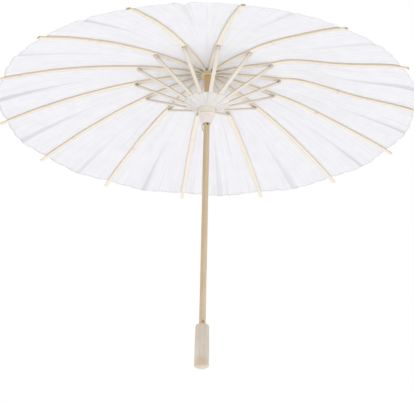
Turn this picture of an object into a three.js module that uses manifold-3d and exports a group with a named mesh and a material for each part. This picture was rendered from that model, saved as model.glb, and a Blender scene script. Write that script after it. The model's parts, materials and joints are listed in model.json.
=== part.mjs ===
// A hand parasol: fourteen bamboo ribs hinged on a crown, fourteen stretchers hinged on a sliding
// runner, fourteen paper panels, a round shaft with a wire catch, and a turned wooden grip.
// Millimetres. The origin is the middle of the grip, on the shaft's axis, and +Z points up to the crown.
import * as THREE from "three";
import { mergeVertices } from "three/addons/utils/BufferGeometryUtils.js";
import Module from "manifold-3d";

const wasm = await Module();
wasm.setup();

// Driving dimensions
const clearance = 0.3; // kept between pieces that touch or slide
const ribCount = 14;
const hingeHeight = 484.4; // rib hinges above the middle of the grip
const hingeRadius = 15; // rib hinges from the axis

const paperRadius = 350; // at the ribs
const paperBulge = 12.5; // the rim between two ribs stands this much past their chord
const paperArch = 5; // the rim's middle stands this much above its ribs
const paperThickness = 0.5;
const paperInnerRadius = 18;
const paperLift = 1.2; // above the ribs' tops, so that the flat facets clear their curve

const ribOverhang = 12.5; // bare rib past the paper's rim
const ribThickness = 3;
const ribWidth = 8.5;
const ribEndWidth = 4.6; // in the crown's slots
const ribTaperStart = 8; // distances from the hinge over which a rib widens
const ribTaperEnd = 45;
const ribTipWidth = 6.6; // past the stretcher joints a rib narrows to this
const ribSlope = 0.055; // droop per millimetre at the hinge
const ribBend = 0.000569; // droop per square millimetre
const warpHeight = 4.2; // the set that a few ribs have taken, up and down along their length
const warpLength = 210;
const warpStart = 130;
const warpAzimuth = -12;
const warpSpread = 34;

const jointRadius = 126; // stretcher joints on the ribs, from the axis
const jointDrop = 2.3; // joint axis below the rib's underside
const lugWidth = 2.2;
const lugRadius = 1.8;
const pinRadius = 0.6;

const strutThickness = 3;
const strutWidth = 6.8;
const strutEndWidth = 5.4; // in the runner's slots
const forkDepth = 3.4;

const shaftRadius = 5.25;
const shaftTop = 17; // above the rib hinges
const tieRadius = 0.4; // wire that strings the rib ends and the stretcher ends
const tieHole = 0.8;

const crownRadius = 16.5;
const crownBelow = 2.5; // underside below the hinges
const crownAbove = 8;
const capRadius = 21;
const capRise = 5;
const capWall = 1.2;

const runnerDrop = 63.5; // stretcher hinges below the rib hinges
const runnerSlide = 0.4; // radial clearance on the shaft
const bandRadius = 15.7;
const bandTop = 4.1; // edges of the band below the stretcher hinges
const bandBottom = 16.1;
const bandStep = 0.9; // the band is this much slimmer than its top edge
const sleeveTopRadius = 12.5;
const sleeveBottomRadius = 8.7;
const sleeveLength = 15.4;
const headRim = 3.3; // toothed head past the band
const headAbove = 6; // head above and below the stretcher hinges
const headBelow = 1.9;

const collarRadius = 40; // pasted cone under the stretcher roots
const collarThickness = 0.8;

const latchWire = 0.5; // wire radius
const latchTop = 1.2; // top of the catch below the runner
const latchLength = 17;
const latchReach = 3.2; // how far the bow stands out of the shaft
const latchFoot = 1.5; // foot of the wire from the axis
const pegHoleRadius = 1.8;
const pegDrop = 2.2; // its middle below the runner
const pegTurn = 24; // degrees from -Y

const gripLength = 70.5;
const gripTopRadius = 10.85;
const gripBottomRadius = 11.75;
const gripFlat = 7; // radius of the flat at its lower end
const gripRound = 4;
const socketDepth = 50;

// Values worked out from them
const ribStep = (2 * Math.PI) / ribCount;
const ribTip = paperRadius + ribOverhang;
const headRadius = bandRadius + headRim;
const strutHingeRadius = bandRadius + clearance + strutThickness / 2;
const strutHingeHeight = hingeHeight - runnerDrop;
const runnerBottom = strutHingeHeight - bandBottom - sleeveLength;

const bamboo = { color: 0xf0e6d6, roughness: 0.6, metalness: 0 };
const shaftBamboo = { color: 0xcdb48c, roughness: 0.55, metalness: 0 };
const gripWood = { color: 0xcdc0af, roughness: 0.6, metalness: 0 };
const whitePaper = { color: 0xf2f2f5, roughness: 0.85, metalness: 0, side: THREE.DoubleSide };
const ivoryPlastic = { color: 0xded7c3, roughness: 0.5, metalness: 0 };
const steelWire = { color: 0xa8a8a8, roughness: 0.35, metalness: 1 };
const cottonThread = { color: 0xe8e2d2, roughness: 0.9, metalness: 0 };

const parasol = new THREE.Group();

// A closed solid for joining and cutting.
function solid(geometry) {
  const bare = geometry.index ? geometry.toNonIndexed() : geometry.clone();
  bare.deleteAttribute("normal");
  bare.deleteAttribute("uv");
  const merged = mergeVertices(bare, 1e-4);
  return new wasm.Manifold(
    new wasm.Mesh({
      numProp: 3,
      vertProperties: merged.attributes.position.array,
      triVerts: new Uint32Array(merged.index.array),
    }),
  );
}

function geometryOf(body) {
  const mesh = body.getMesh();
  const geometry = new THREE.BufferGeometry();
  geometry.setAttribute("position", new THREE.BufferAttribute(mesh.vertProperties, 3));
  geometry.setIndex(new THREE.BufferAttribute(mesh.triVerts, 1));
  geometry.computeVertexNormals();
  return geometry;
}

// Adds a mesh to the parasol, turned about the shaft by an angle.
function place(name, geometry, finish, turn = 0) {
  const mesh = new THREE.Mesh(geometry, new THREE.MeshStandardMaterial(finish));
  mesh.name = name;
  mesh.rotation.z = turn;
  parasol.add(mesh);
}

const numbered = (name, i) => `${name}_${String(i + 1).padStart(2, "0")}`;

const box = (x, y, z, width, depth, height) =>
  solid(new THREE.BoxGeometry(width, depth, height).translate(x, y, z));

// A rod along Y, the direction of every hinge of a piece that lies along X.
const crossRod = (x, z, radius, length, sides = 10) =>
  solid(new THREE.CylinderGeometry(radius, radius, length, sides).translate(x, 0, z));

// A turned shape: its outline is a list of [radius, height] that closes or ends on the axis.
const turned = (outline, sides) =>
  solid(
    new THREE.LatheGeometry(
      outline.map(([r, z]) => new THREE.Vector2(r, z)),
      sides,
    ).rotateX(Math.PI / 2),
  );

const ring = (radius, height, wire, sides, around) =>
  solid(new THREE.TorusGeometry(radius, wire, sides, around).translate(0, 0, height));

// Cuts one shape out of a body at each rib.
function cutAtRibs(body, tool) {
  let cut = body;
  for (let i = 0; i < ribCount; i++) cut = cut.subtract(tool.rotate([0, 0, (360 / ribCount) * i]));
  return cut;
}

// A strip of rectangular section along X through stations [x, z, width, thickness].
function strip(stations) {
  const points = [];
  for (const [x, z, width, thickness] of stations)
    for (const [side, level] of [[-1, -1], [1, -1], [1, 1], [-1, 1]])
      points.push(x, (side * width) / 2, z + (level * thickness) / 2);
  const faces = [0, 2, 1, 0, 3, 2];
  const last = 4 * (stations.length - 1);
  for (let base = 0; base < last; base += 4)
    for (let k = 0; k < 4; k++) {
      const a = base + k;
      const b = base + ((k + 1) % 4);
      faces.push(a, b, b + 4, a, b + 4, a + 4);
    }
  faces.push(last, last + 1, last + 2, last, last + 2, last + 3);
  const geometry = new THREE.BufferGeometry();
  geometry.setAttribute("position", new THREE.Float32BufferAttribute(points, 3));
  geometry.setIndex(faces);
  return solid(geometry);
}

// Stations of a round end about x: the section's height follows a circle as wide as the strip is thick.
function roundEnd(x, z, width, thickness, facing) {
  const radius = thickness / 2;
  const steps = [12, 38, 64].map((degrees) => (degrees * Math.PI) / 180);
  const end = steps.map((a) => [
    x + facing * radius * Math.cos(a),
    z,
    width,
    2 * radius * Math.sin(a),
  ]);
  return facing < 0 ? end : end.reverse();
}

// Set that a rib has taken: a wave past the stretcher joint, strongest at one azimuth (degrees).
function warp(azimuth, r) {
  const away = ((azimuth - warpAzimuth + 540) % 360) - 180;
  const share = Math.exp(-((away / warpSpread) ** 2));
  const start = THREE.MathUtils.smoothstep(r, warpStart, warpStart + 25);
  const wave = Math.cos((2 * Math.PI * (r - warpStart - 20)) / warpLength);
  return warpHeight * share * start * wave;
}

// Height of a rib's middle at distance r from the axis.
function ribHeight(azimuth, r) {
  const out = Math.max(0, r - hingeRadius);
  return hingeHeight - ribSlope * out - ribBend * out * out + warp(azimuth, r);
}

function ribWidthAt(r) {
  const share = (r - hingeRadius - ribTaperStart) / (ribTaperEnd - ribTaperStart);
  const outward = THREE.MathUtils.clamp((r - jointRadius) / (ribTip - jointRadius), 0, 1);
  const full = THREE.MathUtils.lerp(ribWidth, ribTipWidth, outward);
  return THREE.MathUtils.lerp(ribEndWidth, full, THREE.MathUtils.clamp(share, 0, 1));
}

const jointHeight = ribHeight(180, jointRadius) - ribThickness / 2 - jointDrop;

function makeRib(azimuth) {
  const stations = roundEnd(hingeRadius, hingeHeight, ribEndWidth, ribThickness, -1);
  const spans = 15;
  for (let k = 0; k <= spans; k++) {
    const r = hingeRadius + (ribTip - hingeRadius) * (k / spans) ** 1.05;
    stations.push([r, ribHeight(azimuth, r), ribWidthAt(r), ribThickness]);
  }
  const lugTop = ribHeight(azimuth, jointRadius);
  const lug = box(jointRadius, 0, (jointHeight + lugTop) / 2, 2 * lugRadius, lugWidth, lugTop - jointHeight);
  return strip(stations)
    .add(lug)
    .add(crossRod(jointRadius, jointHeight, lugRadius, lugWidth, 12))
    .subtract(crossRod(jointRadius, jointHeight, pinRadius + clearance, 2 * ribWidth))
    .subtract(crossRod(hingeRadius, hingeHeight, tieHole, 2 * ribWidth));
}

// A stretcher runs from its hinge on the runner up to its fork on the rib's lug.
function makeStrut() {
  const run = jointRadius - strutHingeRadius;
  const rise = jointHeight - strutHingeHeight;
  const length = Math.hypot(run, rise);
  const stations = [
    ...roundEnd(0, 0, strutEndWidth, strutThickness, -1),
    [0, 0, strutEndWidth, strutThickness],
    [8, 0, strutEndWidth, strutThickness],
    [24, 0, strutWidth, strutThickness],
    [length, 0, strutWidth, strutThickness],
    ...roundEnd(length, 0, strutWidth, strutThickness, 1),
  ];
  const slotWidth = lugWidth + 2 * clearance;
  return strip(stations)
    .subtract(box(length, 0, 0, 2 * forkDepth, slotWidth, 2 * strutThickness))
    .add(crossRod(length, 0, pinRadius, strutWidth - 1, 8))
    .subtract(crossRod(0, 0, tieHole, 2 * strutWidth))
    .rotate([0, (-Math.atan2(rise, run) * 180) / Math.PI, 0])
    .translate([strutHingeRadius, 0, strutHingeHeight]);
}

// A panel is stretched from rib to rib; towards the rim it arches up, and its edge bulges past their chord.
function makePanel(azimuth) {
  const along = 12;
  const across = 4;
  const clear = clearance / 2;
  const seat = ribThickness / 2 + paperLift;
  const points = [];
  const point = (share, k, lift) => {
    const outer = paperRadius + paperBulge * Math.sin(Math.PI * share);
    const r = THREE.MathUtils.lerp(paperInnerRadius, outer, k / along);
    const ends = [0, 1].map((side) => {
      const a = side * ribStep;
      const height = ribHeight(azimuth + (side * 360) / ribCount, r);
      const shift = side ? -clear : clear;
      return [r * Math.cos(a) - shift * Math.sin(a), r * Math.sin(a) + shift * Math.cos(a), height];
    });
    const mixed = ends[0].map((value, axis) => THREE.MathUtils.lerp(value, ends[1][axis], share));
    const arch = paperArch * Math.sin(Math.PI * share) * (k / along) ** 2;
    points.push(mixed[0], mixed[1], mixed[2] + seat + arch + lift);
  };
  for (const lift of [0, paperThickness])
    for (let j = 0; j <= across; j++) for (let k = 0; k <= along; k++) point(j / across, k, lift);
  const at = (layer, j, k) => (layer * (across + 1) + j) * (along + 1) + k;
  const faces = [];
  const quad = (a, b, c, d) => faces.push(a, b, c, a, c, d);
  for (let j = 0; j < across; j++)
    for (let k = 0; k < along; k++) {
      quad(at(1, j, k), at(1, j, k + 1), at(1, j + 1, k + 1), at(1, j + 1, k));
      quad(at(0, j, k), at(0, j + 1, k), at(0, j + 1, k + 1), at(0, j, k + 1));
    }
  for (let k = 0; k < along; k++) {
    quad(at(0, 0, k), at(0, 0, k + 1), at(1, 0, k + 1), at(1, 0, k));
    quad(at(0, across, k), at(1, across, k), at(1, across, k + 1), at(0, across, k + 1));
  }
  for (let j = 0; j < across; j++) {
    quad(at(0, j, 0), at(1, j, 0), at(1, j + 1, 0), at(0, j + 1, 0));
    quad(at(0, j, along), at(0, j + 1, along), at(1, j + 1, along), at(1, j, along));
  }
  const geometry = new THREE.BufferGeometry();
  geometry.setAttribute("position", new THREE.Float32BufferAttribute(points, 3));
  geometry.setIndex(faces);
  return geometry;
}

// Ribs, stretchers and paper panels
const strutGeometry = geometryOf(makeStrut());
for (let i = 0; i < ribCount; i++) {
  const azimuth = (360 / ribCount) * i;
  place(numbered("rib", i), geometryOf(makeRib(azimuth)), bamboo, i * ribStep);
  place(numbered("strut", i), strutGeometry, bamboo, i * ribStep);
  place(numbered("canopy_panel", i), makePanel(azimuth), whitePaper, i * ribStep);
}

// Crown: a turned block whose slots, open outwards and downwards, hold the rib ends on a wire
const crownSlotFloor = hingeRadius - ribThickness / 2 - 2 * clearance;
const crownSlotTop = hingeHeight + ribThickness / 2 + 2 * clearance;
const crownSlotBottom = hingeHeight - crownBelow - 1;
const crownSlot = box(
  (crownSlotFloor + 2 * crownRadius) / 2,
  0,
  (crownSlotTop + crownSlotBottom) / 2,
  2 * crownRadius - crownSlotFloor,
  ribEndWidth + 2 * clearance,
  crownSlotTop - crownSlotBottom,
);
const shaftBore = shaftRadius + clearance;
const crownBlock = turned(
  [
    [shaftBore, hingeHeight - crownBelow],
    [crownRadius, hingeHeight - crownBelow],
    [crownRadius, hingeHeight + crownAbove],
    [shaftBore, hingeHeight + crownAbove],
    [shaftBore, hingeHeight - crownBelow],
  ],
  42,
);
const crown = cutAtRibs(crownBlock, crownSlot).subtract(
  ring(hingeRadius, hingeHeight, tieRadius + clearance, 8, 42),
);
place("crown", geometryOf(crown), ivoryPlastic);
place("crown_tie", geometryOf(ring(hingeRadius, hingeHeight, tieRadius, 6, 42)), steelWire);

// Cap: a shallow dome over the crown, with a skirt down to just above the paper
const capTop = hingeHeight + crownAbove + clearance + capRise;
const capEdge = hingeHeight + ribThickness / 2 + paperLift + paperThickness + 2 * clearance;
const crownCap = turned(
  [
    [shaftBore, hingeHeight + crownAbove + clearance],
    [crownRadius + clearance, hingeHeight + crownAbove + clearance],
    [capRadius - capWall, capEdge],
    [capRadius, capEdge],
    [capRadius - 1.5, hingeHeight + crownAbove + 0.3 * capRise],
    [capRadius - 7, hingeHeight + crownAbove + 0.75 * capRise],
    [shaftBore + 2.5, capTop],
    [shaftBore, capTop],
    [shaftBore, hingeHeight + crownAbove + clearance],
  ],
  32,
);
place("crown_cap", geometryOf(crownCap), ivoryPlastic);

// Shaft: one round rod from the grip's socket to its tip above the cap, with the catch's slot and a peg hole
const socketFloor = gripLength / 2 - socketDepth;
const tipHeight = hingeHeight + shaftTop;
const latchTopHeight = runnerBottom - latchTop;
const latchFootHeight = latchTopHeight - latchLength;
const shaftSides = 24;
const catchSlot = box(
  -shaftRadius / 2,
  0,
  (latchTopHeight + latchFootHeight) / 2,
  shaftRadius + 5,
  2 * (latchWire + clearance),
  latchLength + 6 * latchWire,
);
const pegHole = crossRod(0, 0, pegHoleRadius, shaftRadius, 8)
  .translate([0, -shaftRadius, runnerBottom - pegDrop])
  .rotate([0, 0, pegTurn]);
const shaft = turned(
  [
    [0, socketFloor + clearance],
    [shaftRadius, socketFloor + clearance],
    [shaftRadius, tipHeight - 3],
    [0.85 * shaftRadius, tipHeight - 1],
    [0.5 * shaftRadius, tipHeight],
    [0, tipHeight],
  ],
  shaftSides,
)
  .subtract(catchSlot)
  .subtract(pegHole);
place("shaft", geometryOf(shaft), shaftBamboo);

// Grip: a turned handle with rounded ends, a socket for the shaft and a flat lower end
const corner = (radius, height, way) =>
  [0, 30, 60, 90].map((degrees) => {
    const a = (degrees * Math.PI) / 180;
    return way < 0
      ? [radius - gripRound + gripRound * Math.sin(a), height + gripRound - gripRound * Math.cos(a)]
      : [radius - gripRound + gripRound * Math.cos(a), height - gripRound + gripRound * Math.sin(a)];
  });
const handle = turned(
  [
    [0, -gripLength / 2],
    [gripFlat, -gripLength / 2],
    ...corner(gripBottomRadius, -gripLength / 2, -1).slice(1),
    ...corner(gripTopRadius, gripLength / 2, 1),
    [shaftBore, gripLength / 2],
    [shaftBore, socketFloor],
    [0, socketFloor],
  ],
  28,
);
place("handle", geometryOf(handle), gripWood);

// Runner: toothed head for the stretcher ends, a band, and a tapered sleeve below it
const runnerBore = shaftRadius + runnerSlide;
const headTop = strutHingeHeight + headAbove;
const headBottom = strutHingeHeight - headBelow;
const bandLower = strutHingeHeight - bandBottom;
const runnerBlock = turned(
  [
    [runnerBore, runnerBottom],
    [sleeveBottomRadius, runnerBottom],
    [sleeveTopRadius, bandLower],
    [bandRadius - bandStep, bandLower],
    [bandRadius - bandStep, strutHingeHeight - bandTop - 2 * bandStep],
    [bandRadius, strutHingeHeight - bandTop - bandStep],
    [bandRadius, headBottom],
    [headRadius, headBottom],
    [headRadius, headTop],
    [runnerBore, headTop],
    [runnerBore, runnerBottom],
  ],
  42,
);
const runnerSlot = box(
  bandRadius + headRadius / 2,
  0,
  strutHingeHeight,
  headRadius,
  strutEndWidth + 2 * clearance,
  3 * headAbove,
);
const runner = cutAtRibs(runnerBlock, runnerSlot).subtract(
  ring(strutHingeRadius, strutHingeHeight, tieRadius + clearance, 8, 42),
);
place("runner", geometryOf(runner), ivoryPlastic);
place("runner_tie", geometryOf(ring(strutHingeRadius, strutHingeHeight, tieRadius, 6, 42)), cottonThread);

// Collar: a pasted cone from the band's top edge out under the stretchers, bent once below the head
const strutSlope = (jointHeight - strutHingeHeight) / (jointRadius - strutHingeRadius);
const underStrut = strutThickness / 2 / Math.cos(Math.atan(strutSlope));
const collarOuter =
  strutHingeHeight + strutSlope * (collarRadius - strutHingeRadius) - underStrut - 1.5 * clearance;
const collarInner = strutHingeHeight - bandTop + clearance;
const collarKnee = headBottom - 2 * clearance;
const collar = turned(
  [
    [bandRadius + clearance, collarInner - collarThickness],
    [headRadius + 2, collarKnee - collarThickness],
    [collarRadius, collarOuter - collarThickness],
    [collarRadius, collarOuter],
    [headRadius + 2, collarKnee],
    [bandRadius + clearance, collarInner],
    [bandRadius + clearance, collarInner - collarThickness],
  ],
  42,
);
place("runner_collar", geometryOf(collar), whitePaper);

// Catch: a bow of spring wire whose foot is fixed in the shaft's slot and whose top stops the runner
const latchPath = new THREE.CatmullRomCurve3(
  [
    [latchFoot, 0],
    [latchFoot + 0.6, 0.12],
    [shaftRadius, 0.33],
    [shaftRadius + latchReach - 0.6, 0.72],
    [shaftRadius + latchReach - latchWire, 0.86],
    [shaftRadius + 1, 0.97],
    [latchFoot + 1.4, 1],
  ].map(([r, share]) => new THREE.Vector3(-r, 0, latchFootHeight + share * latchLength)),
  false,
  "catmullrom",
  0.4,
);
const wireSection = new THREE.Shape();
wireSection.absarc(0, 0, latchWire, 0, 2 * Math.PI);
const latch = new THREE.ExtrudeGeometry(wireSection, {
  steps: 20,
  curveSegments: 4,
  extrudePath: latchPath,
});
place("spring_latch", geometryOf(solid(latch)), steelWire);

export default parasol;
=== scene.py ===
import bpy, json
import numpy as np
from numpy import arange, array, concatenate, cos, full, linspace, pi, sin, stack, zeros
from math import radians
from mathutils import Matrix, Vector


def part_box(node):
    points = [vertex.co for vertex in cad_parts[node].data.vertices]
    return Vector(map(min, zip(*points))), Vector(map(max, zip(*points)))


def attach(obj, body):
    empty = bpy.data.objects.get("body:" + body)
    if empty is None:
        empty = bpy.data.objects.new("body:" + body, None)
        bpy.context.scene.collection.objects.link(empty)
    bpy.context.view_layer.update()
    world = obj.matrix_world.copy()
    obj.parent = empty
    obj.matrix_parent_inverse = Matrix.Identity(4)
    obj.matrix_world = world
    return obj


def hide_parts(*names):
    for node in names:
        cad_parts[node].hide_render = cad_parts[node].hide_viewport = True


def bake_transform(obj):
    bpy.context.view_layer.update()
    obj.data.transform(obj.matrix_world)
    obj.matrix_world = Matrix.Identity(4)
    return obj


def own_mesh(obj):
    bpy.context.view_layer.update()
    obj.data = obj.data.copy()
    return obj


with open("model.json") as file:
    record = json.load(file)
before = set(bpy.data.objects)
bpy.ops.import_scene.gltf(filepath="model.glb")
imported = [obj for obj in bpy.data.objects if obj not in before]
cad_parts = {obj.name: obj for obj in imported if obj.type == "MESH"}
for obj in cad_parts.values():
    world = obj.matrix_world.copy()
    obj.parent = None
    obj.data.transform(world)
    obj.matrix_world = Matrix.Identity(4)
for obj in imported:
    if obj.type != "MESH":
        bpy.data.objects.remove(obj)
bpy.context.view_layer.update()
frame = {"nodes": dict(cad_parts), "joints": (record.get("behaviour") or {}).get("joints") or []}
print("frame loaded")

ribNames = sorted(n for n in frame["nodes"] if n.startswith("rib_"))
ribCount = len(ribNames)
ribStep = 2 * pi / ribCount


# The vertices of a CAD node, in metres.
def nodePoints(node):
    mesh = frame["nodes"][node].data
    co = np.empty(len(mesh.vertices) * 3)
    mesh.vertices.foreach_get("co", co)
    return co.reshape(-1, 3)


# Smallest and largest radius and height of a CAD node, from its vertices.
def turnedBounds(node):
    co = nodePoints(node)
    r = np.hypot(co[:, 0], co[:, 1])
    return r.min(), r.max(), co[:, 2].min(), co[:, 2].max()


# Lowest and highest point of a CAD node's box.
def heights(node):
    (_, _, low), (_, _, high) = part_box(node)
    return low, high


# Smooth 0 to 1 step between two values.
def ease(x, low, high):
    t = np.clip((x - low) / (high - low), 0, 1)
    return t * t * (3 - 2 * t)


# Curve through known points: cubic pieces whose slopes come from the neighbours.
def through(x, xs, ys):
    slopes = np.gradient(ys, xs)
    k = np.clip(np.searchsorted(xs, x) - 1, 0, len(xs) - 2)
    span = xs[k + 1] - xs[k]
    t = (x - xs[k]) / span
    a = (1 + 2 * t) * (1 - t) ** 2 * ys[k] + t * t * (3 - 2 * t) * ys[k + 1]
    b = t * (1 - t) ** 2 * slopes[k] * span - t * t * (1 - t) * slopes[k + 1] * span
    return a + b


# Turns points about the shaft by an angle in radians.
def turn(points, angle):
    c, s = cos(angle), sin(angle)
    x, y, z = np.moveaxis(points, -1, 0)
    return stack([x * c - y * s, x * s + y * c, z], -1)


# Quads of a grid of rows by columns; closed joins the last column to the first.
def gridFaces(rows, columns, closed=False, start=0):
    i, j = np.meshgrid(arange(rows - 1), arange(columns if closed else columns - 1),
        indexing="ij")
    k = (j + 1) % columns
    quads = stack([i * columns + j, i * columns + k, (i + 1) * columns + k, (i + 1) * columns + j], -1)
    return quads.reshape(-1, 4) + start


# Puts a new object in the scene.
def newObject(name, data):
    made = bpy.data.objects.new(name, data)
    bpy.context.scene.collection.objects.link(made)
    return made


# Makes a mesh object from points, a list of faces and named point attributes.
def makePiece(name, points, faces, materials, attributes=None, materialIndex=None, crisp=None):
    mesh = bpy.data.meshes.new(name)
    mesh.from_pydata(np.asarray(points, float).reshape(-1, 3).tolist(), [],
        [list(map(int, f)) for f in faces])
    for key, values in (attributes or {}).items():
        values = np.asarray(values, np.float32)
        kind = "FLOAT_VECTOR" if values.ndim > 1 else "FLOAT"
        made = mesh.attributes.new(key, kind, "POINT")
        made.data.foreach_set("vector" if values.ndim > 1 else "value", values.ravel())
    for material in materials:
        mesh.materials.append(material)
    if materialIndex is not None:
        mesh.polygons.foreach_set("material_index", np.asarray(materialIndex, np.int32))
    mesh.polygons.foreach_set("use_smooth", full(len(mesh.polygons), True))
    mesh.update()
    if crisp:
        mesh.set_sharp_from_angle(angle=radians(crisp))
    piece = newObject(name, mesh)
    return piece


# Lets a piece ride with a body in the place of a CAD node.
def setPiece(piece, body, node):
    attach(piece, body)
    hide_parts(node)


# A new shader group with its inputs (name, kind, value) and outputs (name, kind).
def newGroup(name, inputs, outputs):
    group = bpy.data.node_groups.new(name, "ShaderNodeTree")
    for label, kind, value in inputs:
        socket = group.interface.new_socket(label, in_out="INPUT", socket_type="NodeSocket" + kind)
        if value is not None:
            socket.default_value = value
    for label, kind in outputs:
        group.interface.new_socket(label, in_out="OUTPUT", socket_type="NodeSocket" + kind)
    return group, group.nodes.new("NodeGroupInput"), group.nodes.new("NodeGroupOutput")


# Adds a shader node, with values for its inputs and its own settings.
def addNode(tree, kind, values=None, **settings):
    node = tree.nodes.new("ShaderNode" + kind)
    for key, value in settings.items():
        setattr(node, key, value)
    for key, value in (values or {}).items():
        node.inputs[key].default_value = value
    return node


# Streaks along the third coordinate: noise squeezed across and stretched along, in two sizes.
def makeStreakGroup():
    inputs = [("Vector", "Vector", None), ("Across", "Float", 900.0),
        ("Along", "Float", 18.0)]
    outputs = [("Mask", "Float"), ("Fine", "Float")]
    group, start, end = newGroup("fibreStreaks", inputs, outputs)
    link = group.links.new
    combine = addNode(group, "CombineXYZ")
    for axis, source in zip("XYZ", ("Across", "Across", "Along")):
        link(start.outputs[source], combine.inputs[axis])
    scaled = addNode(group, "VectorMath", operation="MULTIPLY")
    link(start.outputs["Vector"], scaled.inputs[0])
    link(combine.outputs[0], scaled.inputs[1])
    for label, size, detail in (("Mask", 0.35, 2.0), ("Fine", 1.6, 4.0)):
        noise = addNode(group, "TexNoise", {"Scale": size, "Detail": detail, "Roughness": 0.6})
        link(scaled.outputs[0], noise.inputs["Vector"])
        link(noise.outputs["Fac"], end.inputs[label])
    return group


# Soft uneven tone: broad noise for stains and fine noise for pores.
def makeMottleGroup():
    inputs = [("Vector", "Vector", None), ("Size", "Float", 40.0)]
    outputs = [("Broad", "Float"), ("Pores", "Float")]
    group, start, end = newGroup("softMottle", inputs, outputs)
    link = group.links.new
    for label, factor, detail in (("Broad", 1.0, 3.0), ("Pores", 22.0, 2.0)):
        times = addNode(group, "Math", {1: factor}, operation="MULTIPLY")
        noise = addNode(group, "TexNoise", {"Detail": detail, "Roughness": 0.55})
        link(start.outputs["Size"], times.inputs[0])
        link(times.outputs[0], noise.inputs["Scale"])
        link(start.outputs["Vector"], noise.inputs["Vector"])
        link(noise.outputs["Fac"], end.inputs[label])
    return group


streakGroup = makeStreakGroup()
mottleGroup = makeMottleGroup()


# A new material, its node tree and its shader.
def newMaterial(name, roughness, specular=0.35):
    material = bpy.data.materials.new(name)
    material.use_nodes = True
    tree = material.node_tree
    shader = tree.nodes["Principled BSDF"]
    shader.inputs["Roughness"].default_value = roughness
    shader.inputs["Specular IOR Level"].default_value = specular
    return material, tree, shader


# A colour ramp between stops of (place, colour), driven by a value.
def ramp(tree, source, stops):
    node = addNode(tree, "ValToRGB")
    elements = node.color_ramp.elements
    for k, (place, colour) in enumerate(stops):
        element = elements[k] if k < 2 else elements.new(place)
        element.position = place
        element.color = (*colour, 1)
    tree.links.new(source, node.inputs[0])
    return node.outputs["Color"]


# Mixes two colours. Each of the three values is a socket or a plain value.
def mixColour(tree, factor, first, second, mode="MIX"):
    node = addNode(tree, "Mix", data_type="RGBA", blend_type=mode)
    for key, value in ((0, factor), (6, first), (7, second)):
        if isinstance(value, bpy.types.NodeSocket):
            tree.links.new(value, node.inputs[key])
        else:
            node.inputs[key].default_value = value if key == 0 else (*value, 1)
    return node.outputs[2]


# Bumps the surface by a height.
def bump(tree, shader, height, distance, strength):
    node = addNode(tree, "Bump", {"Strength": strength, "Distance": distance})
    tree.links.new(height, node.inputs["Height"])
    tree.links.new(node.outputs["Normal"], shader.inputs["Normal"])


# Gives a shader its colour and its bump.
def finish(tree, shader, tone, height, distance, strength=0.5):
    tree.links.new(tone, shader.inputs["Base Color"])
    bump(tree, shader, height, distance, strength)


# Adds a shader group, with its vector linked and its other inputs set.
def useGroup(tree, group, vector, **values):
    node = addNode(tree, "Group", node_tree=group)
    for key, value in values.items():
        node.inputs[key].default_value = value
    tree.links.new(vector, node.inputs["Vector"])
    return node


# A sum of one or two values, each of them a socket or a plain value.
def mathNode(tree, operation, first, second=None, clamp=False):
    node = addNode(tree, "Math", operation=operation, use_clamp=clamp)
    for key, value in enumerate((first, second)):
        if isinstance(value, bpy.types.NodeSocket):
            tree.links.new(value, node.inputs[key])
        elif value is not None:
            node.inputs[key].default_value = value
    return node.outputs[0]


# A value or vector that the mesh holds for each point.
def attribute(tree, name, output="Vector"):
    return addNode(tree, "Attribute", attribute_name=name).outputs[output]


# The object's own coordinates.
def objectPlace(tree):
    return addNode(tree, "TexCoord").outputs["Object"]


# Split bamboo: straight fibres along the piece, darker sawn sides that are partly their own tan and partly
# painted shade, and a darker band at each growth ring.
def makeBamboo(name, light, dark, sawnAndShadedSides, roughness):
    material, tree, shader = newMaterial(name, roughness)
    streaks = useGroup(tree, streakGroup, attribute(tree, "fibre"), Across=1500.0, Along=16.0)
    tone = ramp(tree, streaks.outputs["Mask"], [(0.3, dark), (0.62, light)])
    fine = ramp(tree, streaks.outputs["Fine"], [(0.35, (0.90, 0.88, 0.85)), (0.6, (1, 1, 1))])
    tone = mixColour(tree, 0.6, tone, fine, "MULTIPLY")
    sideways = mathNode(tree, "ABSOLUTE", attribute(tree, "edge", "Fac"))
    # Partly painted shade: the sawn sides take a darker tan, partly their own colour and partly shade.
    sideAndShadeMask = ramp(tree, sideways, [(0.95, (0, 0, 0)), (1.0, (0.85, 0.85, 0.85))])
    tone = mixColour(tree, sideAndShadeMask, tone, sawnAndShadedSides)
    mark = attribute(tree, "mark", "Fac")
    tone = mixColour(tree, mark, tone, (0.44, 0.31, 0.18))
    finish(tree, shader, tone, streaks.outputs["Fine"], 0.00012, 0.6)
    return material


# Cut ends: short dark pores of the bamboo's cross section.
def makeEndGrain():
    material, tree, shader = newMaterial("cutBambooEnd", 0.8, 0.2)
    place = objectPlace(tree)
    pores = addNode(tree, "TexVoronoi", {"Scale": 1800.0})
    tree.links.new(place, pores.inputs["Vector"])
    tone = ramp(tree, pores.outputs["Distance"], [(0.1, (0.34, 0.22, 0.13)), (0.5, (0.62, 0.47, 0.31))])
    finish(tree, shader, tone, pores.outputs["Distance"], 0.0002)
    return material


# Mixes a ball of colour into a tone: a real stain on the shaft, painted shade on the grip. It is strongest at its
# centre, gone at its radius; stretch makes it longer or flatter along Z.
def addStainAndShadeBall(tree, place, tone, centre, radius, stretch, strength, colour):
    shift = addNode(tree, "Mapping", vector_type="TEXTURE")
    shift.inputs["Location"].default_value = centre
    shift.inputs["Scale"].default_value = (radius, radius, radius * stretch)
    length = addNode(tree, "VectorMath", operation="LENGTH")
    tree.links.new(place, shift.inputs["Vector"])
    tree.links.new(shift.outputs[0], length.inputs[0])
    fade = addNode(tree, "MapRange", {"From Min": 0.35, "From Max": 1.0, "To Min": strength, "To Max": 0.0},
        interpolation_type="SMOOTHSTEP")
    tree.links.new(length.outputs["Value"], fade.inputs["Value"])
    return mixColour(tree, fade.outputs[0], tone, colour)
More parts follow.
